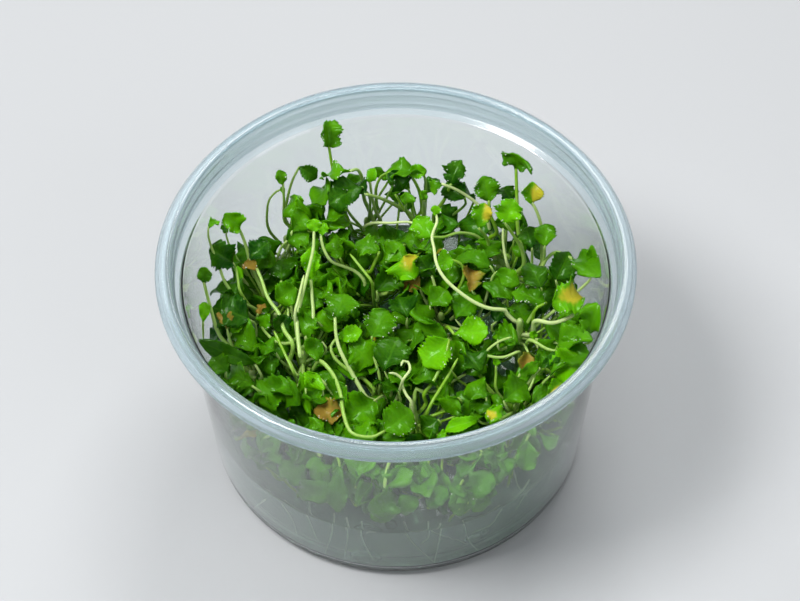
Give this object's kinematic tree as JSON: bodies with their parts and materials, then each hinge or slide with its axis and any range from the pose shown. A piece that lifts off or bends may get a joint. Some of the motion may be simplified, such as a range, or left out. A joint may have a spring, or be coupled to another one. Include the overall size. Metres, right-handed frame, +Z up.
{
  "type": "potted aquarium plant",
  "caption": "Lake cress with small toothed green leaves on long pale stalks, growing from short stems in clear gel in a round clear plastic cup with a rolled rim.",
  "frame": {"origin": "middle of the cup's foot, on the surface that the cup stands on", "axes": "+Z up along the cup's axis. -Y is the side that faces the viewer. +X is the viewer's right."},
  "size_m": [0.1, 0.1, 0.06],
  "materials": {
    "cup_plastic": "clear, slightly milky moulded plastic",
    "clear_gel": "clear wet jelly with a smooth surface",
    "stem": "pale green, smooth and slightly translucent",
    "leaf_green": "mid green leaf with a soft sheen",
    "young_leaf": "bright yellow-green leaf, slightly translucent",
    "dark_leaf": "dark green leaf with a soft sheen",
    "yellow_leaf": "green leaf turning yellow",
    "withered_leaf": "dry brown leaf"
  },
  "bodies": {
    "root": {"cup": "cup_plastic", "gel": "clear_gel", "stem_01": "stem", "stem_02": "stem", "stem_03": "stem", "stem_04": "stem", "stem_05": "stem", "stem_06": "stem", "stem_07": "stem", "stem_08": "stem", "stem_09": "stem", "stem_10": "stem", "stem_11": "stem", "stem_12": "stem", "stem_13": "stem", "stem_14": "stem", "leaf_01": "leaf_green", "leaf_02": "leaf_green", "leaf_03": "young_leaf", "leaf_04": "dark_leaf", "leaf_05": "leaf_green", "leaf_06": "dark_leaf", "leaf_07": "young_leaf", "leaf_08": "dark_leaf", "leaf_09": "dark_leaf", "leaf_10": "leaf_green", "leaf_11": "leaf_green", "leaf_12": "yellow_leaf", "leaf_13": "young_leaf", "leaf_14": "leaf_green", "leaf_15": "yellow_leaf", "leaf_16": "young_leaf", "leaf_17": "leaf_green", "leaf_18": "leaf_green", "leaf_19": "leaf_green", "leaf_20": "yellow_leaf", "leaf_21": "young_leaf", "leaf_22": "young_leaf", "leaf_23": "dark_leaf", "leaf_24": "young_leaf", "leaf_25": "young_leaf", "leaf_26": "leaf_green", "leaf_27": "leaf_green", "leaf_28": "withered_leaf", "leaf_29": "withered_leaf", "leaf_30": "leaf_green", "leaf_31": "young_leaf", "leaf_32": "young_leaf", "leaf_33": "young_leaf", "leaf_34": "dark_leaf", "leaf_35": "young_leaf", "leaf_36": "leaf_green", "leaf_37": "young_leaf", "leaf_38": "leaf_green", "leaf_39": "leaf_green", "leaf_40": "young_leaf", "leaf_41": "leaf_green", "leaf_42": "leaf_green", "leaf_43": "yellow_leaf", "leaf_44": "leaf_green"}
  },
  "joints": []
}
